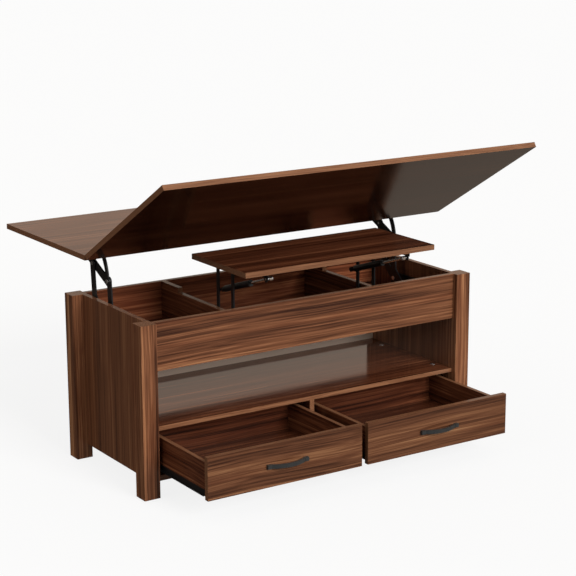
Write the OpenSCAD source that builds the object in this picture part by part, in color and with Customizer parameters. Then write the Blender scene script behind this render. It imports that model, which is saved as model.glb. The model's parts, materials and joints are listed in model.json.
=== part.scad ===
// Lift-top coffee table: a carcass on four square legs with an open shelf, two drawers and three
// hidden compartments. A hinged two-leaf top and a small work board ride on parallel-arm lifts.
// X runs along the table, +Y towards its back, Z up from the floor. Right-hand pieces are drawn at
// +X and mirrored for the left. Sizes are in millimetres.
// Shown in use: top raised, front leaf part folded, work board raised, both drawers pulled out.

/* [Tabletop] */
// Length of both tabletop leaves
leaf_l = 1200; // [1160:5:1300]
// Depth of one leaf
leaf_w = 510; // [490:1:520]
// Thickness of the leaves and of the work board
leaf_t = 15; // [12:0.5:16]
// Height of the raised tabletop
top_h = 647.5; // [640:0.5:655]
// Distance of the raised fold line behind the front of the legs
fold_y = 223; // [215:1:230]
// Tilt of the front leaf above level
leaf_tilt = 30.4; // [0:0.1:90]

/* [Carcass] */
// Length over the legs
body_l = 1108; // [1080:2:1120]
// Depth over the legs
body_d = 453; // [440:1:470]
// Height of the legs and of the carcass rim
body_h = 490; // [488:1:492]
// Width of a square leg
leg_w = 48; // [44:1:52]
// Thickness of the carcass boards
board_t = 15; // [14:0.5:16]
// Distance of the front and back panels in from the leg faces
panel_inset = 17; // [14:1:17]
// Height of the carcass underside
under_h = 45; // [40:1:50]
// Height of the underside of the shelf
shelf_z = 188; // [186:1:200]
// Thickness of the shelf
shelf_t = 12; // [12:0.5:15]
// Height of the underside of the hidden compartments
floor_z = 355; // [350:1:355]
// Distance of a compartment partition from the middle of the table
partition_x = 251; // [250:1:252]
// Height of the top of the lower back panel, a low lip behind the shelf
back_lip_z = 218; // [205:1:240]
// Height of the underside of the upper back panel
back_drop_z = 320; // [310:1:355]

/* [Drawers] */
// How far the drawers are pulled out, which is their whole travel
drawer_out = 260; // [0:5:260]
// Depth of a drawer box behind its front
drawer_len = 334; // [320:1:350]
// Length of a handle
pull_l = 130; // [100:1:160]
// How far a handle stands out
pull_out = 24; // [20:1:35]

/* [Work board] */
// Width of the work board
work_w = 624; // [600:2:640]
// Depth of the work board
work_d = 282; // [270:1:282]
// Height of the raised work board
work_h = 630; // [625:1:630]

/* [Lift mechanisms] */
// Pivot to pivot length of every lift arm
arm_r = 178; // [176:1:180]
// Lean of the raised tabletop arms towards the back
arm_lean = 24.5; // [22:0.5:26]
// Width of a tabletop lift arm
lid_arm_w = 25; // [20:1:26]
// Width of a work board lift arm
work_arm_w = 14; // [12:1:15]
// Thickness of the lift arms
arm_t = 4; // [3:0.5:4]

/* [Hidden] */

$fn = 48;
walnut = "#6e4430";
walnut_dark = "#4c2c1e";
steel_black = "#1b1b1c";
zinc = "#b9bbbd";
bronze = "#2f2622";
rubber = "#222222";

// Carcass planes
wall_x = body_l / 2 - leg_w;
front_in = panel_inset + board_t;
back_in = body_d - panel_inset - board_t;
floor_top = floor_z + board_t;
shelf_top = shelf_z + shelf_t;
bottom_top = under_h + board_t;
glide_h = 3;

// Tabletop: the fold axis lies just above the upper faces of the leaves
fold_gap = 0.3;
fold_z = top_h + fold_gap;
leaf_under = top_h - leaf_t;
hinge_xs = [-430, 0, 430];
hinge_l = 70;
knuckles = 5;
knuckle_gap = 0.4;
knuckle_r = 3.2;
knuckle_room = 0.6;
hinge_pin_r = 1.5;
plate_w = 24;
plate_t = 1.2;
hinge_screw_y = 15;
hinge_screw_step = 24;

// Tabletop lift: pivots are [y, z]; the carrier bar rises from the front pivot to the rear leaf
bar_slope = 0.476;
bar_w = 27;
lid_front_top = [298.5, 545.7];
pivot_step = 80;
lid_rear_top = lid_front_top + pivot_step * [1, bar_slope];
arm_rise = arm_r * [sin(arm_lean), cos(arm_lean)];
lid_front_base = lid_front_top - arm_rise;
lid_rear_base = lid_rear_top - arm_rise;
arm_upper = 95;
arm_upper_lean = 7;
eye_rim = 0.75;
pin_r = 3.95;
pin_bore_r = 4;
lid_base_t = 2.5;
flange_t = 2.5;
lid_flange_w = 16;
lid_rear_arm_x = wall_x - 8;
carrier_x = wall_x - 13;
lid_front_arm_x = wall_x - 18;
cheek_x = wall_x - 23;
pin_head_r = 6.5;
pin_head_t = 1.5;
bar_top = [lid_front_top.x + (leaf_under - lid_front_top.y) / bar_slope, leaf_under];
neck_w = 16;
neck_top_y = 336;
neck_dy = neck_top_y - lid_front_top.x;
neck_dz = leaf_under - lid_front_top.y;
neck_r = (neck_dy * neck_dy + neck_dz * neck_dz) / (2 * neck_dy);
upright_w = 18;

// Closing the top moves it forward and down; the same drop brings the work board inside
lid_gap = 4;
lid_drop = leaf_under - body_h - lid_gap;
closed_lean = -acos(cos(arm_lean) - lid_drop / arm_r);
lid_travel = arm_r * (sin(arm_lean) - sin(closed_lean));
bumper_h = 3.7;
bumper_r = 6;

// Work board lift
work_under = work_h - leaf_t;
work_front = -136;
work_drop = lid_drop;
work_swing = acos(1 - work_drop / arm_r);
work_travel = arm_r * sin(work_swing);
notch_z = work_under - work_drop - 1.5;
notch_back = work_front + work_travel + work_d + 2.5;
work_wall_x = partition_x - board_t / 2;
work_base_t = 2.5;
work_arm_x = work_wall_x - 7.5;
bracket_x = work_wall_x - 11;
bracket_t = 2.5;
work_rear_top = [130, work_under - 14];
work_front_top = work_rear_top - [78, 0];
work_rear_base = work_rear_top - [0, arm_r];
work_front_base = work_front_top - [0, arm_r];
work_pin_r = 2.95;
work_bore_r = 3;
bracket_lug_r = 8;
rail_h = 12;

// Gas struts, from a pin on the work board bracket down to a stud on the rear arm
strut_x = bracket_x - 11.5;
strut_top = [-111.7, work_under - 17];
strut_foot = work_rear_base + [0, 97];
strut_dir = strut_foot - strut_top;
strut_len = norm(strut_dir);
strut_angle = atan2(strut_dir.y, strut_dir.x);
strut_r = 9;
strut_rod_r = 4;
strut_rod_len = 145;
strut_body_from = 12;
strut_body_to = 152;
strut_bore_from = 16;
strut_bore_r = 4.05;
strut_eye_r = 6;
strut_eye_w = 8;

// Drawers, drawn shut and pulled out by drawer_out
gap_x = 12.5;
divider_x = board_t / 2;
drawer_lo = divider_x + 2.5;
drawer_hi = wall_x - 7;
front_lo_z = bottom_top + 8;
front_hi_z = shelf_z - 1;
box_lo_x = divider_x + gap_x;
box_hi_x = wall_x - gap_x;
box_lo_z = bottom_top + 16;
box_hi_z = shelf_z - 20;
box_side_t = 12;
box_floor_z = box_lo_z + 6;
box_floor_t = 4;
rail_z = bottom_top + 2;
rail_tall = 26;
rail_lip = 10.5;
rail_t = 1.2;
rail_len = 350;
glide_len = 14;
runner_flange_z = rail_z + 16;
pull_t = 5;
pull_tall = 11;
foot_w = 13;
foot_out = 9;
drawer_mid_x = (drawer_lo + drawer_hi) / 2;
drawer_mid_z = (front_lo_z + front_hi_z) / 2;

screw_r = 2;
screw_head_r = 4;
screw_head_t = 2;
screw_len = 12;

// The origin is on the floor, under the middle of the table as shown
shown_front = panel_inset - drawer_out - pull_out;
shown_back = fold_y + fold_gap + leaf_w;
mid_y = (shown_front + shown_back) / 2;

// Moves a piece from the leg-front datum to the origin of the table
module placed() {
  translate([0, -mid_y, 0])
    children();
}

// Mirrors a right-hand piece when side is -1
module sided(side) {
  placed()
    mirror([side < 0 ? 1 : 0, 0, 0])
      children();
}

// A board or plate between two corners
module block(lo, hi) {
  translate(lo)
    cube(hi - lo);
}

// A flat plate whose outline lies in the YZ plane, from x with thickness t
module plate_x(x, t) {
  translate([x, 0, 0])
    rotate([90, 0, 90])
      linear_extrude(t)
        children();
}

// A round pin along X between two planes, through a [y, z] point
module pin_x(r, x0, x1, at) {
  translate([x0, at.x, at.y])
    rotate([0, 90, 0])
      cylinder(r = r, h = x1 - x0);
}

// A flat link with a round eye at each end, a little wider than its bar
module link(a, b, w) {
  bar = w - 2 * eye_rim;
  for (at = [a, b])
    translate(at)
      circle(w / 2);
  translate(a)
    rotate(atan2(b.y - a.y, b.x - a.x))
      translate([0, -bar / 2])
        square([norm(b - a), bar]);
}

// Offset of half a width to the left of the direction from a to b
function side_step(a, b, w) = w / 2 * [a.y - b.y, b.x - a.x] / norm(b - a);

// A wood screw pointing along -Z with its head above the origin
module screw() {
  cylinder(r1 = screw_head_r, r2 = screw_head_r * 0.6, h = screw_head_t);
  translate([0, 0, -screw_len])
    cylinder(r = screw_r, h = screw_len);
}

// ---- Carcass ----

module leg(side, y) {
  color(walnut)
    sided(side)
      block([wall_x, y, glide_h], [wall_x + leg_w, y + leg_w, body_h]);
}

module foot_glides() {
  color(rubber)
    placed()
      for (side = [-1, 1], y = [leg_w / 2, body_d - leg_w / 2])
        translate([side * (wall_x + leg_w / 2), y, 0])
          cylinder(r1 = 12, r2 = 14, h = glide_h);
}

module side_panel(side) {
  color(walnut)
    sided(side)
      block([wall_x, leg_w, under_h], [wall_x + board_t, body_d - leg_w, body_h]);
}

module front_panel() {
  color(walnut)
    placed()
      block([-wall_x, panel_inset, floor_z], [wall_x, front_in, body_h]);
}

// The shelf is open at the back too, between the upper and the lower back panel
module back_panel() {
  color(walnut)
    placed()
      block([-wall_x, back_in, back_drop_z], [wall_x, back_in + board_t, body_h]);
}

module lower_back_panel() {
  color(walnut)
    placed()
      block([-wall_x, back_in, under_h], [wall_x, back_in + board_t, back_lip_z]);
}

module compartment_floor() {
  color(walnut_dark)
    placed()
      block([-wall_x, front_in, floor_z], [wall_x, back_in, floor_top]);
}

// The front of a partition is lower, to let the work board down inside the rim
module partition(side) {
  color(walnut)
    sided(side)
      difference() {
        block([work_wall_x, front_in, floor_top], [work_wall_x + board_t, back_in, body_h]);
        block([work_wall_x - 1, front_in - 1, notch_z],
          [work_wall_x + board_t + 1, notch_back, body_h + 1]);
      }
}

module shelf_board() {
  color(walnut)
    placed()
      block([-wall_x, panel_inset, shelf_z], [wall_x, back_in, shelf_top]);
}

module drawer_divider() {
  color(walnut)
    placed()
      block([-divider_x, panel_inset, bottom_top], [divider_x, back_in, shelf_z]);
}

module bottom_board() {
  color(walnut)
    placed()
      block([-wall_x, panel_inset, under_h], [wall_x, back_in, bottom_top]);
}

// Cam fasteners let into the upper face of the shelf
module cam_locks() {
  color(zinc)
    placed()
      for (side = [-1, 1], y = [80, 340])
        translate([side * (wall_x - 24), y, shelf_top - 9])
          difference() {
            cylinder(r = 7.5, h = 9.4);
            translate([-5, -0.8, 8.2])
              cube([10, 1.6, 2]);
            translate([-0.8, -5, 8.2])
              cube([1.6, 10, 2]);
          }
}

// ---- Tabletop lift ----

// Steel channel for the two lower pivots, screwed to the side panel. Its foot is relieved under
// the eye of the front arm
module lid_base(side) {
  outer_y = [lid_front_base.x - 20, lid_rear_base.x + 20];
  cheek_y = [lid_front_base.x - 18, lid_front_base.x + 18];
  color(steel_black)
    sided(side)
      difference() {
        union() {
          block([wall_x - lid_base_t, outer_y[0], floor_top], [wall_x, outer_y[1], floor_top + 70]);
          block([cheek_x, outer_y[0], floor_top], [wall_x, outer_y[0] + 62, floor_top + flange_t]);
          block([cheek_x, cheek_y[0], floor_top], [cheek_x + lid_base_t, cheek_y[1], floor_top + 28]);
        }
        pin_x(pin_r, cheek_x - 1, wall_x + 1, lid_front_base);
        pin_x(pin_r, wall_x - 4, wall_x + 1, lid_rear_base);
        pin_x(lid_arm_w / 2 + 0.6, lid_front_arm_x - 1, lid_front_arm_x + arm_t + 1, lid_front_base);
      }
}

// Lower pivot pins of both lifts
module base_pins() {
  color(zinc)
    placed()
      for (side = [0, 1])
        mirror([side, 0, 0]) {
          pin_x(pin_r, cheek_x, wall_x, lid_front_base);
          pin_x(pin_head_r, cheek_x - pin_head_t, cheek_x, lid_front_base);
          pin_x(pin_r, lid_rear_arm_x, wall_x, lid_rear_base);
          pin_x(pin_head_r, lid_rear_arm_x - pin_head_t, lid_rear_arm_x, lid_rear_base);
          for (at = [work_rear_base, work_front_base]) {
            pin_x(work_pin_r, work_arm_x, work_wall_x, at);
            pin_x(work_pin_r + 2, work_arm_x - pin_head_t, work_arm_x, at);
          }
        }
}

// Wood screws that hold the two pairs of base brackets
module base_screws() {
  color(zinc)
    placed()
      for (side = [0, 1])
        mirror([side, 0, 0]) {
          for (y = [lid_front_base.x - 10, lid_rear_base.x + 10], z = [floor_top + 58, floor_top + 14])
            translate([wall_x - lid_base_t, y, z])
              rotate([0, -90, 0])
                screw_sink();
          for (y = [work_front_base.x + 20, work_rear_base.x - 20])
            translate([work_wall_x - 16, y, floor_top + flange_t])
              screw();
        }
}

// A lift arm: vertical above the rim, then cranked forward to its lower pivot
module lid_arm(side, x, top) {
  base = top - arm_rise;
  bend = top - [arm_upper_lean, arm_upper];
  low = side_step(base, bend, lid_arm_w - 2 * eye_rim);
  high = side_step(bend, top, lid_arm_w - 2 * eye_rim);
  mitre = (low + high) * (low * low) / (low * low + low * high);
  color(steel_black)
    sided(side)
      difference() {
        plate_x(x, arm_t) {
          polygon([base - low, bend - mitre, top - high, top + high, bend + mitre, base + low]);
          for (at = [base, top])
            translate(at)
              circle(lid_arm_w / 2);
        }
        pin_x(pin_bore_r, x - 1, x + arm_t + 1, base);
        pin_x(pin_bore_r, x - 1, x + arm_t + 1, top);
      }
}

// Outline of the carrier: slanted bar, curved neck and upright under the rear leaf
module carrier_outline() {
  intersection() {
    union() {
      link(lid_front_top, bar_top, bar_w);
      translate([lid_rear_top.x - upright_w / 2, lid_rear_top.y])
        square([upright_w, leaf_under - lid_rear_top.y]);
      intersection() {
        translate([lid_front_top.x + neck_r, lid_front_top.y])
          difference() {
            circle(neck_r + neck_w / 2, $fn = 96);
            circle(neck_r - neck_w / 2, $fn = 96);
          }
        translate([lid_front_top.x - neck_w, lid_front_top.y])
          square([neck_dy + 2 * neck_w, neck_dz]);
      }
    }
    translate([0, lid_front_top.y - bar_w])
      square([bar_top.x + bar_w, leaf_under - lid_front_top.y + bar_w - flange_t / 2]);
  }
}

module lid_carrier(side) {
  color(steel_black)
    sided(side)
      difference() {
        union() {
          plate_x(carrier_x, arm_t)
            carrier_outline();
          block([carrier_x + arm_t - lid_flange_w, neck_top_y - 22, leaf_under - flange_t],
            [carrier_x + arm_t, bar_top.x + 16, leaf_under]);
        }
        pin_x(pin_r, carrier_x - 1, carrier_x + arm_t + 1, lid_front_top);
        pin_x(pin_r, carrier_x - 1, carrier_x + arm_t + 1, lid_rear_top);
      }
}

// Upper pivot pins, fixed in the carriers
module lid_pins() {
  color(zinc)
    placed()
      for (side = [0, 1])
        mirror([side, 0, 0]) {
          pin_x(pin_r, lid_front_arm_x, carrier_x + arm_t, lid_front_top);
          pin_x(pin_head_r, lid_front_arm_x - pin_head_t, lid_front_arm_x, lid_front_top);
          pin_x(pin_head_r, carrier_x + arm_t, carrier_x + arm_t + pin_head_t, lid_front_top);
          pin_x(pin_r, carrier_x, lid_rear_arm_x + arm_t, lid_rear_top);
          pin_x(pin_head_r - 1, lid_rear_arm_x + arm_t, lid_rear_arm_x + arm_t + 1, lid_rear_top);
        }
}

// Rubber stops under the rear leaf, above the legs when the top is shut
module lid_bumpers() {
  color(rubber)
    placed()
      for (side = [-1, 1], y = [leg_w / 2, body_d - leg_w / 2])
        translate([side * (wall_x + leg_w / 2), y + lid_travel, leaf_under - bumper_h])
          cylinder(r = bumper_r, h = bumper_h);
}

// ---- Tabletop leaves: drawn flat, the front leaf then tips up about the fold axis ----

module at_fold() {
  placed()
    translate([0, fold_y, fold_z])
      children();
}

module tipped() {
  rotate([-leaf_tilt, 0, 0])
    children();
}

// One leaf with the pockets for its hinges, running towards +Y from the fold axis
module leaf_blank() {
  difference() {
    block([-leaf_l / 2, fold_gap, -fold_gap - leaf_t], [leaf_l / 2, fold_gap + leaf_w, -fold_gap]);
    for (x = hinge_xs)
      translate([x, 0, 0]) {
        translate([-hinge_l / 2 - 1, 0, 0])
          rotate([0, 90, 0])
            cylinder(r = knuckle_r + knuckle_room, h = hinge_l + 2);
        block([-hinge_l / 2, 0, -fold_gap - plate_t], [hinge_l / 2, plate_w, 1]);
      }
  }
}

// Half of a butt hinge: knuckles with index first, first + 2 and so on, and a flat plate
module hinge_half(first) {
  pitch = hinge_l / knuckles;
  near_y = hinge_pin_r + 0.4;
  far_y = knuckle_r + 0.4;
  difference() {
    union() {
      block([-hinge_l / 2, far_y, -fold_gap - plate_t], [hinge_l / 2, plate_w, -fold_gap]);
      for (i = [first : 2 : knuckles - 1])
        translate([-hinge_l / 2 + i * pitch + knuckle_gap / 2, 0, 0]) {
          rotate([0, 90, 0])
            cylinder(r = knuckle_r, h = pitch - knuckle_gap);
          block([0, near_y, -fold_gap - plate_t], [pitch - knuckle_gap, far_y + 1, -fold_gap]);
        }
    }
    translate([-hinge_l / 2 - 1, 0, 0])
      rotate([0, 90, 0])
        cylinder(r = hinge_pin_r + 0.05, h = hinge_l + 2);
    for (i = [-1 : 1])
      translate([i * hinge_screw_step, hinge_screw_y, -fold_gap])
        screw_sink();
  }
}

// Countersunk screw standing under its own flat head
module screw_sink() {
  translate([0, 0, -plate_t])
    cylinder(r1 = screw_r, r2 = screw_head_r - 0.6, h = plate_t);
  translate([0, 0, -screw_len])
    cylinder(r = screw_r, h = screw_len);
}

module hinge_screws() {
  for (x = hinge_xs, i = [-1 : 1])
    translate([x + i * hinge_screw_step, hinge_screw_y, -fold_gap])
      screw_sink();
}

module leaf_rear() {
  color(walnut)
    at_fold()
      leaf_blank();
}

// The hinge halves in the rear leaf, with the pins that the front halves turn on
module rear_leaf_hinges() {
  color(bronze)
    at_fold()
      for (x = hinge_xs)
        translate([x, 0, 0]) {
          hinge_half(0);
          translate([-hinge_l / 2, 0, 0])
            rotate([0, 90, 0])
              cylinder(r = hinge_pin_r, h = hinge_l);
        }
}

// Screws in the rear leaf: through its hinge plates and through the carrier flanges
module rear_leaf_screws() {
  color(zinc) {
    at_fold()
      hinge_screws();
    placed()
      for (side = [-1, 1], y = [neck_top_y - 12, neck_top_y + 76, bar_top.x + 6])
        translate([side * (carrier_x - 6), y, leaf_under - flange_t])
          mirror([0, 0, 1])
            screw();
  }
}

module leaf_front() {
  color(walnut)
    at_fold()
      tipped()
        mirror([0, 1, 0])
          leaf_blank();
}

module front_leaf_hinges() {
  color(bronze)
    at_fold()
      tipped()
        mirror([0, 1, 0])
          for (x = hinge_xs)
            translate([x, 0, 0])
              hinge_half(1);
}

module front_leaf_screws() {
  color(zinc)
    at_fold()
      tipped()
        mirror([0, 1, 0])
          hinge_screws();
}

// ---- Work board lift ----

module work_base(side) {
  ends = [work_front_base.x - 14, work_rear_base.x + 14];
  color(steel_black)
    sided(side)
      difference() {
        union() {
          block([work_wall_x - work_base_t, ends[0], floor_top],
            [work_wall_x, ends[1], work_rear_base.y + 12]);
          block([work_wall_x - 26, ends[0], floor_top], [work_wall_x, ends[1], floor_top + flange_t]);
        }
        for (at = [work_rear_base, work_front_base])
          pin_x(work_pin_r, work_wall_x - 4, work_wall_x + 1, at);
      }
}

module work_arm(side, base) {
  top = base + [0, arm_r];
  color(steel_black)
    sided(side)
      difference() {
        plate_x(work_arm_x, arm_t)
          link(base, top, work_arm_w);
        pin_x(work_bore_r, work_arm_x - 1, work_arm_x + arm_t + 1, base);
        pin_x(work_bore_r, work_arm_x - 1, work_arm_x + arm_t + 1, top);
      }
}

// The rear arm also carries the stud that the foot of the strut turns beside
module work_rear_arm(side) {
  work_arm(side, work_rear_base);
  color(zinc)
    sided(side)
      pin_x(4, strut_x + strut_r + 1, work_arm_x, strut_foot);
}

module work_board() {
  color(walnut)
    placed()
      block([-work_w / 2, work_front, work_under], [work_w / 2, work_front + work_d, work_h]);
}

// Rail under the work board with lugs for the arms and for the head of the strut
module work_bracket(side) {
  ends = [strut_top.x - 12, work_rear_top.x + 12];
  lugs = [strut_top, work_front_top, work_rear_top];
  color(steel_black)
    sided(side)
      difference() {
        union() {
          block([bracket_x - 18, ends[0], work_under - flange_t],
            [bracket_x + bracket_t, ends[1], work_under]);
          plate_x(bracket_x, bracket_t) {
            translate([ends[0], work_under - rail_h])
              square([ends[1] - ends[0], rail_h]);
            for (at = lugs) {
              translate(at)
                circle(bracket_lug_r);
              translate([at.x - bracket_lug_r, at.y])
                square([2 * bracket_lug_r, work_under - at.y]);
            }
          }
        }
        for (at = lugs)
          pin_x(work_pin_r, bracket_x - 1, bracket_x + bracket_t + 1, at);
      }
}

// Upper pivot pins of the work board and the strut head pins, fixed in the brackets
module work_pins() {
  color(zinc)
    placed()
      for (side = [0, 1])
        mirror([side, 0, 0]) {
          for (at = [work_rear_top, work_front_top]) {
            pin_x(work_pin_r, bracket_x, work_arm_x + arm_t, at);
            pin_x(work_pin_r + 2, work_arm_x + arm_t, work_arm_x + arm_t + 0.7, at);
          }
          pin_x(work_pin_r, strut_x - strut_eye_w / 2 - 1, bracket_x + bracket_t, strut_top);
          pin_x(work_pin_r + 2, strut_x - strut_eye_w / 2 - 2.5, strut_x - strut_eye_w / 2 - 1, strut_top);
        }
}

// Lays a strut piece, drawn along +X from the strut head, on the line of the strut
module along_strut() {
  translate([strut_x, strut_top.x, strut_top.y])
    rotate([strut_angle, 0, 0])
      rotate([0, 0, 90])
        children();
}

module strut_rods() {
  color(zinc)
    placed()
      for (side = [0, 1])
        mirror([side, 0, 0])
          along_strut()
            difference() {
              union() {
                rotate([0, 90, 0])
                  cylinder(r = strut_rod_r, h = strut_rod_len);
                rotate([90, 0, 0])
                  cylinder(r = strut_eye_r, h = strut_eye_w, center = true);
              }
              rotate([90, 0, 0])
                cylinder(r = work_bore_r, h = strut_eye_w + 2, center = true);
            }
}

module strut_cylinders() {
  color(steel_black)
    placed()
      for (side = [0, 1])
        mirror([side, 0, 0])
          along_strut()
            translate([strut_len, 0, 0])
              rotate([0, -90, 0])
                difference() {
                  union() {
                    rotate([90, 0, 0])
                      translate([0, 0, -strut_r])
                        cylinder(r = strut_eye_r + 1, h = strut_r + 4);
                    cylinder(r = 5, h = strut_body_from + 1);
                    translate([0, 0, strut_body_from])
                      cylinder(r = strut_r, h = strut_body_to - strut_body_from);
                  }
                  translate([0, 0, strut_bore_from])
                    cylinder(r = strut_bore_r, h = strut_body_to);
                }
}

// ---- Drawers ----

// A drawer piece is drawn shut on the right-hand side, then pulled out and mirrored as needed
module drawer_place(side) {
  sided(side)
    translate([0, -drawer_out, 0])
      children();
}

// A piece drawn against the left wall of the drawer bay, repeated mirrored at its right wall
module both_walls() {
  children();
  translate([divider_x + wall_x, 0, 0])
    mirror([1, 0, 0])
      children();
}

module drawer_front(side) {
  color(walnut)
    drawer_place(side)
      block([drawer_lo, panel_inset, front_lo_z], [drawer_hi, front_in, front_hi_z]);
}

module drawer_sides(side) {
  color(walnut_dark)
    drawer_place(side)
      both_walls()
        block([box_lo_x, front_in, box_lo_z], [box_lo_x + box_side_t, front_in + drawer_len, box_hi_z]);
}

module drawer_back(side) {
  back_y = front_in + drawer_len;
  color(walnut_dark)
    drawer_place(side)
      block([box_lo_x + box_side_t, back_y - box_side_t, box_lo_z],
        [box_hi_x - box_side_t, back_y, box_hi_z]);
}

module drawer_bottom(side) {
  back_y = front_in + drawer_len - box_side_t;
  color(walnut)
    drawer_place(side)
      block([box_lo_x + box_side_t, front_in, box_floor_z],
        [box_hi_x - box_side_t, back_y, box_floor_z + box_floor_t]);
}

// Bow handle: an arched flat bar on two feet
module drawer_handle(side) {
  rise = pull_out - pull_t / 2;
  half = pull_l / 2 - foot_w / 2;
  bow_r = (half * half + rise * rise) / (2 * rise);
  color(bronze)
    drawer_place(side)
      translate([drawer_mid_x, panel_inset, drawer_mid_z - pull_tall / 2])
        linear_extrude(pull_tall) {
          intersection() {
            translate([0, bow_r - rise])
              difference() {
                circle(bow_r + pull_t / 2, $fn = 120);
                circle(bow_r - pull_t / 2, $fn = 120);
              }
            translate([-pull_l / 2, -pull_out - 1])
              square([pull_l, pull_out + 1]);
          }
          for (s = [-1, 1])
            translate([s * half - foot_w / 2, -foot_out])
              square([foot_w, foot_out]);
        }
}

// Cabinet half of a two-part runner: a C channel with a glide block at its mouth
module drawer_rails() {
  color(steel_black)
    placed()
      for (side = [0, 1])
        mirror([side, 0, 0])
          both_walls()
            translate([divider_x, front_in + 2, rail_z]) {
              cube([rail_t, rail_len, rail_tall]);
              for (z = [0, rail_tall - rail_t])
                translate([0, 0, z])
                  cube([rail_lip, rail_len, rail_t]);
              translate([rail_t, 1, rail_t])
                cube([rail_lip - 2 * rail_t, glide_len, runner_flange_z - rail_z - rail_t - 0.3]);
            }
}

// Drawer half of the runner: a steel angle under the drawer side, and a rear glide block
module drawer_runners(side) {
  glide_z = runner_flange_z - 4;
  flange_lo = divider_x + 2.5;
  web_lo = box_lo_x - rail_t;
  color(steel_black)
    drawer_place(side)
      both_walls() {
        block([web_lo, front_in, box_lo_z - rail_t], [box_lo_x, front_in + drawer_len, box_lo_z + 16]);
        block([web_lo, front_in, box_lo_z - rail_t],
          [box_lo_x + box_side_t, front_in + drawer_len, box_lo_z]);
        block([flange_lo, front_in + 2, runner_flange_z],
          [box_lo_x, front_in + drawer_len - glide_len, runner_flange_z + rail_t]);
        block([flange_lo, front_in + drawer_len - glide_len, glide_z],
          [box_lo_x, front_in + drawer_len, rail_z + rail_tall - rail_t - 0.4]);
      }
}

leg(-1, 0);  // leg_front_left
leg(1, 0);  // leg_front_right
leg(-1, body_d - leg_w);  // leg_rear_left
leg(1, body_d - leg_w);  // leg_rear_right
foot_glides();
side_panel(-1);  // side_panel_left
side_panel(1);  // side_panel_right
front_panel();
back_panel();
lower_back_panel();
compartment_floor();
partition(-1);  // partition_left
partition(1);  // partition_right
shelf_board();
drawer_divider();
bottom_board();
cam_locks();
lid_base(-1);  // lid_base_left
lid_base(1);  // lid_base_right
work_base(-1);  // work_base_left
work_base(1);  // work_base_right
base_pins();
base_screws();
drawer_rails();
lid_arm(-1, lid_rear_arm_x, lid_rear_top);  // lid_rear_arm_left
lid_arm(1, lid_rear_arm_x, lid_rear_top);  // lid_rear_arm_right
lid_arm(-1, lid_front_arm_x, lid_front_top);  // lid_front_arm_left
lid_arm(1, lid_front_arm_x, lid_front_top);  // lid_front_arm_right
leaf_rear();
lid_carrier(-1);  // lid_carrier_left
lid_carrier(1);  // lid_carrier_right
lid_pins();
lid_bumpers();
rear_leaf_hinges();
rear_leaf_screws();
leaf_front();
front_leaf_hinges();
front_leaf_screws();
work_rear_arm(-1);  // work_rear_arm_left
work_rear_arm(1);  // work_rear_arm_right
work_arm(-1, work_front_base);  // work_front_arm_left
work_arm(1, work_front_base);  // work_front_arm_right
work_board();
work_bracket(-1);  // work_bracket_left
work_bracket(1);  // work_bracket_right
work_pins();
strut_rods();
strut_cylinders();
drawer_front(-1);  // drawer_front_left
drawer_front(1);  // drawer_front_right
drawer_sides(-1);  // drawer_sides_left
drawer_sides(1);  // drawer_sides_right
drawer_back(-1);  // drawer_back_left
drawer_back(1);  // drawer_back_right
drawer_bottom(-1);  // drawer_bottom_left
drawer_bottom(1);  // drawer_bottom_right
drawer_handle(-1);  // drawer_handle_left
drawer_handle(1);  // drawer_handle_right
drawer_runners(-1);  // drawer_runners_left
drawer_runners(1);  // drawer_runners_right
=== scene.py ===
"""Looks, floor, light and camera for the lift-top coffee table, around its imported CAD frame.

Everything is in metres in the CAD frame: X along the table, +Y towards its back, Z up.
"""
import json
import math

import bpy
from mathutils import Matrix, Vector


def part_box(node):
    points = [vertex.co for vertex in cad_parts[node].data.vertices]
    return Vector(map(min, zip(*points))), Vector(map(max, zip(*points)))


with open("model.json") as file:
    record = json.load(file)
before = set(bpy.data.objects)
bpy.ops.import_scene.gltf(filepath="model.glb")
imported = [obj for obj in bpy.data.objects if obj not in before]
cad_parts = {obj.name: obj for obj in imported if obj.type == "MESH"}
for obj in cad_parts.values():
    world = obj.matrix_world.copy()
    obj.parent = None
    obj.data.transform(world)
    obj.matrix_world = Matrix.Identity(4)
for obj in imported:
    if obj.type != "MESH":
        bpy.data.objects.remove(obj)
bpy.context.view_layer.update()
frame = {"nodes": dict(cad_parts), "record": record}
scene = bpy.context.scene


# ---- Small node helpers ----

class Nodes:
    """A node tree with short calls for the nodes used below."""

    def __init__(self, tree):
        self.tree = tree

    def add(self, kind, **values):
        node = self.tree.nodes.new(kind)
        for key, value in values.items():
            setattr(node, key, value)
        return node

    def link(self, source, target):
        self.tree.links.new(source, target)

    def feed(self, socket, value):
        """Sets a socket, or links it if the value is another node's output."""
        if isinstance(value, bpy.types.NodeSocket):
            self.link(value, socket)
        else:
            socket.default_value = value

    def math(self, operation, a, b=0.0):
        node = self.add("ShaderNodeMath", operation=operation)
        self.feed(node.inputs[0], a)
        self.feed(node.inputs[1], b)
        return node.outputs[0]

    def vector_math(self, operation, *vectors):
        node = self.add("ShaderNodeVectorMath", operation=operation)
        for socket, vector in zip(node.inputs, vectors):
            self.feed(socket, vector)
        return node.outputs

    def remap(self, value, low, high, to_low=0.0, to_high=1.0):
        node = self.add("ShaderNodeMapRange")
        for name, number in (("Value", value), ("From Min", low), ("From Max", high),
                             ("To Min", to_low), ("To Max", to_high)):
            self.feed(node.inputs[name], number)
        return node.outputs["Result"]

    def mix(self, factor, a, b, blend="MIX"):
        node = self.add("ShaderNodeMix", data_type="RGBA", blend_type=blend)
        self.feed(node.inputs["Factor"], factor)
        self.feed(node.inputs["A"], a)
        self.feed(node.inputs["B"], b)
        return node.outputs["Result"]


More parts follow.
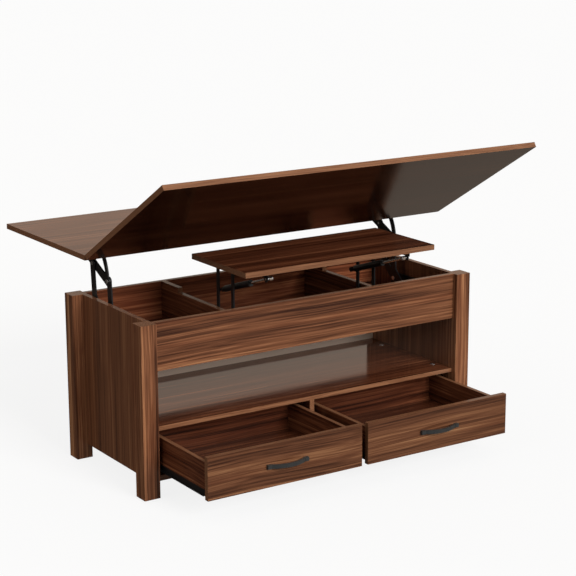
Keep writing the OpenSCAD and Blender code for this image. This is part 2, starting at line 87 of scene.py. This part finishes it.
class Surface(Nodes):
    """A new material around one Principled shader, patterned in object space."""

    SOCKETS = {"colour": "Base Color", "roughness": "Roughness", "metallic": "Metallic",
               "specular": "Specular IOR Level", "ior": "IOR", "glow": "Emission Color",
               "glow_strength": "Emission Strength"}

    def __init__(self, name):
        self.material = bpy.data.materials.new(name)
        self.material.use_nodes = True
        super().__init__(self.material.node_tree)
        self.shader = self.tree.nodes["Principled BSDF"]
        self.place = self.add("ShaderNodeTexCoord").outputs["Object"]

    def scaled(self, vector, scale, shift=(0.0, 0.0, 0.0)):
        node = self.add("ShaderNodeMapping")
        self.link(vector, node.inputs["Vector"])
        node.inputs["Scale"].default_value = scale
        node.inputs["Location"].default_value = shift
        return node.outputs["Vector"]

    def noise(self, vector, scale, detail=2.0, roughness=0.5, distortion=0.0, colour=False):
        node = self.add("ShaderNodeTexNoise")
        for name, value in (("Vector", vector), ("Scale", scale), ("Detail", detail),
                            ("Roughness", roughness), ("Distortion", distortion)):
            self.feed(node.inputs[name], value)
        return node.outputs["Color" if colour else "Fac"]

    def ramp(self, value, stops):
        node = self.add("ShaderNodeValToRGB")
        self.link(value, node.inputs["Fac"])
        points = node.color_ramp.elements
        while len(points) < len(stops):
            points.new(0.5)
        for point, (position, colour) in zip(points, stops):
            point.position = position
            point.color = rgba(colour)
        return node.outputs["Color"]

    def patchy(self, pattern, middle, below, above):
        """A value that follows a noise pattern from middle - below to middle + above."""
        return self.remap(pattern, 0.3, 0.7, middle - below, middle + above)

    def facing(self, direction):
        """How squarely a surface looks along an object-space direction: 1, 0 edge-on, -1 away."""
        turned = self.add("ShaderNodeVectorTransform", vector_type="NORMAL",
                          convert_from="WORLD", convert_to="OBJECT")
        self.link(self.add("ShaderNodeNewGeometry").outputs["True Normal"], turned.inputs[0])
        return self.vector_math("DOT_PRODUCT", turned.outputs[0], direction)["Value"]

    def bump(self, height, strength, distance):
        node = self.add("ShaderNodeBump")
        self.link(height, node.inputs["Height"])
        node.inputs["Strength"].default_value = strength
        node.inputs["Distance"].default_value = distance
        self.link(node.outputs["Normal"], self.shader.inputs["Normal"])

    def set(self, **values):
        for key, value in values.items():
            self.feed(self.shader.inputs[self.SOCKETS[key]], value)


def rgba(colour, factor=1.0, lift=0.0):
    """A linear colour times factor plus lift, opaque."""
    return (*[factor * c + lift for c in colour], 1.0)


def srgb(red, green, blue):
    """8-bit sRGB to linear."""
    return tuple((c / 255 / 12.92) if c <= 10 else ((c / 255 + 0.055) / 1.055) ** 2.4
                 for c in (red, green, blue))


# ---- Walnut laminate ----

PLAIN = (1.0, 1.0, 1.0)
BROWN = (0.93, 1.0, 0.93)       # the browner print of the outside
SHADE_RED = (1.0, 0.82, 0.72)        # a redder, darker cast for the boards in shade inside the table and for the raised leaf: painted shade
# painted reflection: the pale grey of the mirrored white surround, laid on a face that sits in
# shade
PAINTED_HAZE = (0.46, 0.36, 0.29)
# the two shades of a painted highlight along board edges, where they would catch the light
EDGE_HIGHLIGHT_SHADES = srgb(112, 72, 50), srgb(150, 104, 74)
GRAIN_STRETCH = 0.012           # how much slower the figure changes along the grain than across
WANDER = 0.020                  # how far the grain lines stray from straight
WANDERS_PER_M = 2.2
SEED_STEP = (3.1, 1.7, 2.3)     # how far apart in the pattern two neighbouring seeds lie
WALNUT_STOPS = [
    (0.00, srgb(38, 19, 13)),
    (0.22, srgb(62, 34, 23)),
    (0.42, srgb(90, 53, 36)),
    (0.58, srgb(108, 66, 46)),
    (0.78, srgb(134, 88, 62)),
    (1.00, srgb(166, 118, 86)),
]
# Figure of the print: features per metre across the grain, octaves and weight
FIGURE_LAYERS = [(13.0, 2.0, 0.19), (52.0, 3.0, 0.31), (150.0, 3.0, 0.34), (470.0, 2.0, 0.16)]
# Reddish streaks and dark pores along the fibres: features per metre, octaves, roughness,
# distortion, the range of the noise in which a mark grows from none to full, strength and colour
MARKS = [
    (34.0, 2.0, 0.5, 0.2, 0.56, 0.72, 0.24, srgb(98, 46, 28)),
    (320.0, 2.0, 0.7, 0.0, 0.60, 0.78, 0.35, srgb(36, 18, 12)),
]


def walnut(name, grain, seed, tone=1.0, gloss=0.2, spread=0.135, tint=PLAIN, sheen=0.5,
           faces=None, edge_highlight=1.0, pale=None):
    """Printed walnut laminate under a semi-gloss coat.

    grain is the axis that the figure runs along. tone and tint scale its colour, and a wider
    spread makes it fainter. gloss is the coat's roughness and sheen its specular level.
    faces is the direction the board's broad faces look along; the edges between them carry a
    painted highlight, a lighter strip edge_highlight times as bright as its own print. A face that
    looks along pale is painted pale grey, a painted reflection.
    """
    g = Surface(name)
    stretch = [GRAIN_STRETCH if axis == grain else 1.0 for axis in "xyz"]
    shift = [seed * step for step in SEED_STEP]
    sway = g.noise(g.scaled(g.place, PLAIN, shift), WANDERS_PER_M, 1.0, colour=True)
    swayed = g.vector_math("MULTIPLY_ADD", sway, (WANDER, WANDER, WANDER), g.place)["Vector"]
    fibres = g.scaled(swayed, stretch, shift)
    figure = 0.0
    for scale, octaves, weight in FIGURE_LAYERS:
        layer = g.noise(fibres, scale, octaves, 0.58, 0.25)
        figure = g.math("ADD", figure, g.math("MULTIPLY", layer, weight))
    colour = g.ramp(g.remap(figure, 0.5 - spread, 0.5 + spread), WALNUT_STOPS)
    for scale, octaves, roughness, distortion, none, full, strength, shade in MARKS:
        mark = g.remap(g.noise(fibres, scale, octaves, roughness, distortion), none, full)
        colour = g.mix(g.math("MULTIPLY", mark, strength), colour, rgba(shade))
    colour = g.mix(1.0, colour, rgba(tint, tone), "MULTIPLY")
    fine = layer
    # painted highlight: a lighter strip on the edges between the broad faces
    if faces:
        dark, light = (rgba(shade, edge_highlight) for shade in EDGE_HIGHLIGHT_SHADES)
        strip = g.mix(g.remap(fine, 0.35, 0.65), dark, light)
        edge = g.math("LESS_THAN", g.math("ABSOLUTE", g.facing(faces)), 0.5)
        colour = g.mix(edge, colour, strip)
    # painted reflection: faces that look along pale get the pale grey of the mirrored surround
    if pale:
        colour = g.mix(g.math("GREATER_THAN", g.facing(pale), 0.5), colour, rgba(PAINTED_HAZE))
    g.set(colour=colour, ior=1.5, specular=sheen, roughness=g.patchy(fine, gloss, 0.03, 0.05))
    g.bump(fine, 0.05, 0.0003)
    return g.material


# ---- Metals, plastic and rubber ----

def powder_coat(name, base, roughness):
    """Baked paint: faintly cloudy, with a fine orange peel."""
    g = Surface(name)
    peel = g.noise(g.place, 900.0, 2.0)
    cloud = g.noise(g.place, 30.0, 3.0)
    g.set(colour=g.mix(g.math("MULTIPLY", cloud, 0.35), rgba(base), rgba(base, 1.8, 0.004)),
          roughness=g.patchy(cloud, roughness, 0.06, 0.08), ior=1.5, specular=0.3)
    g.bump(peel, 0.12, 0.0002)
    return g.material


def plated(name, base, roughness, lines_per_m=260.0):
    """Bright metal with fine drawing lines along Z."""
    g = Surface(name)
    lines = g.noise(g.scaled(g.place, (1.0, 1.0, 0.08)), lines_per_m, 3.0)
    g.set(colour=g.mix(lines, rgba(base, 0.82), rgba(base)),
          roughness=g.patchy(lines, roughness, 0.05, 0.08), metallic=1.0)
    g.bump(lines, 0.05, 0.0001)
    return g.material


def moulded(name, base, roughness):
    """Plastic or rubber with the fine texture of its mould."""
    g = Surface(name)
    texture = g.noise(g.place, 1400.0, 2.0)
    g.set(colour=g.mix(texture, rgba(base), rgba(base, 1.5)), roughness=roughness)
    g.bump(texture, 0.15, 0.0002)
    return g.material


# ---- The table's materials ----

# Directions that broad faces look along
LEVEL = (0.0, 0.0, 1.0)
FACING = (0.0, 1.0, 0.0)
SIDEWAYS = (1.0, 0.0, 0.0)
UPRIGHT = (1.0, 1.0, 0.0)
FORWARD = (0.0, -1.0, 0.0)
LEAF_THICKNESS = 0.015
leaf_lo, leaf_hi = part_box("leaf_front")
leaf_tilt = math.atan2(leaf_hi[2] - leaf_lo[2] - LEAF_THICKNESS,
                       leaf_hi[1] - leaf_lo[1] - LEAF_THICKNESS)
TIPPED = (0.0, math.sin(leaf_tilt), math.cos(leaf_tilt))

upright = walnut("walnut_leg_z", "z", 11.0, 1.36, tint=BROWN, sheen=0.35, faces=UPRIGHT, edge_highlight=0.8)
upright_panel = walnut("walnut_side_z", "z", 12.0, 1.22, spread=0.24, tint=BROWN, sheen=0.35)
# the boards inside the table and the drawer sides get lower tones: painted shade
across_table = walnut("walnut_case_y", "y", 4.4, 0.60, 0.22, tint=SHADE_RED, sheen=0.25, faces=SIDEWAYS,
                      edge_highlight=0.75)
drawer_side = walnut("walnut_box_y", "y", 5.9, 0.66, 0.22, tint=SHADE_RED, sheen=0.2, faces=SIDEWAYS,
                     edge_highlight=0.75)
along_table = {
    "top": walnut("walnut_top_x", "x", 2.0, 0.95, 0.16, sheen=0.35, faces=LEVEL, edge_highlight=0.8),
    # the leaf's low tone paints the shade on its underside: painted shade
    "leaf": walnut("walnut_leaf_x", "x", 3.3, 0.34, 0.12, tint=SHADE_RED, faces=TIPPED, edge_highlight=0.8),
    # darker tone for the work board under the raised leaf: painted shade
    "work": walnut("walnut_work_x", "x", 5.2, 0.76, 0.18, tint=SHADE_RED, faces=LEVEL, edge_highlight=0.75),
    "case": walnut("walnut_case_x", "x", 7.1, 0.96, 0.2, tint=SHADE_RED),
    # lightened against the drawers' shadow over it: painted light
    "base": walnut("walnut_base_x", "x", 4.7, 1.5, 0.25),
    # darker tone for the open shelf: painted shade
    "shelf": walnut("walnut_shelf_x", "x", 8.4, 0.80, 0.1, tint=SHADE_RED, sheen=0.9, faces=LEVEL,
                    edge_highlight=0.85),
    # the apron is lightened against the raised leaf's shadow and the drawer fronts darkened, so
    # both read alike: painted light and shade
    "apron": walnut("walnut_apron_x", "x", 9.6, 1.27, 0.22, tint=BROWN, sheen=0.35, faces=FACING,
                    edge_highlight=0.9),
    "front": walnut("walnut_front_x", "x", 10.4, 0.83, 0.22, tint=BROWN, sheen=0.35, faces=FACING,
                    edge_highlight=0.7),
    # darker tone for the drawer boxes: painted shade inside the drawers
    "box": walnut("walnut_box_x", "x", 6.3, 0.58, 0.22, tint=SHADE_RED, sheen=0.35),
    # the lip's forward face carries the painted reflection
    "lip": walnut("walnut_lip_x", "x", 7.7, 1.00, 0.2, pale=FORWARD),
}
black_steel = powder_coat("black_steel", (0.005, 0.005, 0.0055), 0.38)
handle_bronze = powder_coat("handle_bronze", srgb(42, 43, 43), 0.30)
zinc = plated("zinc_plated", (0.74, 0.75, 0.76), 0.30)
chrome = plated("chrome_rod", (0.86, 0.87, 0.88), 0.10, lines_per_m=40.0)
glide_plastic = moulded("glide_plastic", (0.020, 0.020, 0.022), 0.5)
bumper_rubber = moulded("bumper_rubber", (0.015, 0.015, 0.015), 0.75)

SLOT_MATERIAL = {
    "walnut_upright": upright,
    "walnut_top": along_table["top"],
    "walnut_carcass": along_table["case"],
    "walnut_drawer": along_table["front"],
    "black_steel": black_steel,
    "dark_bronze": handle_bronze,
    "zinc": zinc,
    "chrome_rod": chrome,
    "glide_plastic": glide_plastic,
    "bumper_rubber": bumper_rubber,
}
NODE_MATERIAL = {
    "side_panel_left": upright_panel,
    "side_panel_right": upright_panel,
    "leaf_front": along_table["leaf"],
    "work_board": along_table["work"],
    "shelf_board": along_table["shelf"],
    "front_panel": along_table["apron"],
    "lower_back_panel": along_table["lip"],
    "bottom_board": along_table["base"],
    "partition_left": across_table,
    "partition_right": across_table,
    "drawer_divider": across_table,
    "drawer_sides_left": drawer_side,
    "drawer_sides_right": drawer_side,
    "drawer_back_left": along_table["box"],
    "drawer_back_right": along_table["box"],
    "drawer_bottom_left": along_table["box"],
    "drawer_bottom_right": along_table["box"],
}


# ---- CAD nodes: material by slot, and eased edges on boards and steel ----

BEVELS = {"walnut": 0.0008, "black_steel": 0.0004, "dark_bronze": 0.0008}
SHARP = 0.9                     # radians between two faces whose edge is eased

for part in frame["record"]["subparts"]:
    name, slot = part["node"], part["material_slot"]
    piece = frame["nodes"][name]
    material = NODE_MATERIAL.get(name, SLOT_MATERIAL[slot])
    if not piece.material_slots:
        piece.data.materials.append(material)
    for holder in piece.material_slots:
        holder.material = material
    width = BEVELS.get("walnut" if slot.startswith("walnut") else slot)
    if width:
        ease = piece.modifiers.new("eased_edges", "BEVEL")
        ease.width = width
        ease.segments = 2
        ease.limit_method = "ANGLE"
        ease.angle_limit = SHARP
        ease.harden_normals = True


# ---- Floor, light and camera ----

FLOOR_SIDE = 60.0
FLOOR_WHITE = 0.85              # the part of the floor's white that no shadow can take away
FLOOR_SHADED = 0.12             # and the part that one can
SKY = 0.46                      # studio brightness above the horizon
BELOW = 0.22                    # and below it, where only gloss picks it up
BELOW_LEFT = 0.15 * BELOW       # the left side of that is dimmer
BELOW_DIFFUSE = 0.01
HORIZON = (-0.04, 0.02)         # from below to sky, as the upward part of a direction
LEFT_TO_RIGHT = (-0.25, 0.45)   # from dimmer to brighter below, as its part along X
SKY_TINT = (1.0, 0.95, 0.88)
GLOSS_TINT = (1.06, 0.86, 0.70)     # the warmer surround that the lacquer mirrors
KEY_FROM = (0.10, -0.89, 0.44)
KEY_STRENGTH = 3.5
KEY_ANGLE = 0.45
FILL_FROM = (-0.94, -0.12, 0.32)
FILL_STRENGTH = 0.6
FILL_ANGLE = 0.9


def stage_floor():
    """A pale sheet that stays nearly white, with the softest of shadows under the table.

    It isn't lit into the table from below, so undersides stay as dark as in a real studio cut-out.
    """
    bpy.ops.mesh.primitive_plane_add(size=FLOOR_SIDE, location=(0.0, 0.0, 0.0))
    floor = bpy.context.object
    floor.name = "floor"
    floor.visible_diffuse = False
    floor.visible_glossy = False
    g = Surface("floor_white")
    g.set(colour=rgba(PLAIN, FLOOR_SHADED), roughness=1.0, specular=0.0,
          glow=rgba(PLAIN), glow_strength=FLOOR_WHITE)
    floor.data.materials.append(g.material)


def studio_world():
    """A bright even surround above the horizon and a dim one below it, white to the camera."""
    world = bpy.data.worlds.new("studio")
    world.use_nodes = True
    w = Nodes(world.node_tree)
    direction = w.add("ShaderNodeSeparateXYZ")
    w.link(w.add("ShaderNodeTexCoord").outputs["Generated"], direction.inputs["Vector"])
    ray = w.add("ShaderNodeLightPath").outputs
    mirrored = w.remap(direction.outputs["X"], *LEFT_TO_RIGHT, BELOW_LEFT, BELOW)
    below = w.math("ADD", w.math("MULTIPLY", ray["Is Glossy Ray"], mirrored), BELOW_DIFFUSE)
    glow = w.remap(direction.outputs["Z"], *HORIZON, below, SKY)
    background = world.node_tree.nodes["Background"]
    w.link(w.mix(ray["Is Glossy Ray"], rgba(SKY_TINT), rgba(GLOSS_TINT)),
           background.inputs["Color"])
    w.link(w.math("MAXIMUM", ray["Is Camera Ray"], glow), background.inputs["Strength"])
    scene.world = world


def sun(name, source, strength, angle):
    """A broad soft light from far away, shining from the direction source."""
    data = bpy.data.lights.new(name, "SUN")
    data.energy = strength
    data.angle = angle
    lamp = bpy.data.objects.new(name, data)
    scene.collection.objects.link(lamp)
    lamp.rotation_euler = (-Vector(source)).to_track_quat("-Z", "Y").to_euler()


def aim_camera():
    """The photograph's view: from the front left, a little above the raised top."""
    data = bpy.data.cameras.new("camera")
    data.sensor_width = CAMERA_SENSOR
    data.lens = CAMERA_LENS
    camera = bpy.data.objects.new("camera", data)
    scene.collection.objects.link(camera)
    turn = Matrix.Rotation(-CAMERA_YAW, 4, "Z")
    tilt = Matrix.Rotation(math.radians(90.0) - CAMERA_DROP, 4, "X")
    roll = Matrix.Rotation(CAMERA_ROLL, 4, "Z")
    camera.matrix_world = Matrix.Translation(CAMERA_PLACE) @ turn @ tilt @ roll
    scene.camera = camera


CAMERA_PLACE = (-2.58876, -4.06556, 1.65275)
CAMERA_YAW = math.radians(33.0913)      # from looking along +Y towards +X
CAMERA_DROP = math.radians(13.7664)     # below level
CAMERA_ROLL = math.radians(-0.2350)
CAMERA_LENS = 106.47                    # mm, and so is the sensor
CAMERA_SENSOR = 36.0

stage_floor()
studio_world()
sun("key", KEY_FROM, KEY_STRENGTH, KEY_ANGLE)
sun("fill", FILL_FROM, FILL_STRENGTH, FILL_ANGLE)
scene.view_settings.view_transform = "Standard"
aim_camera()
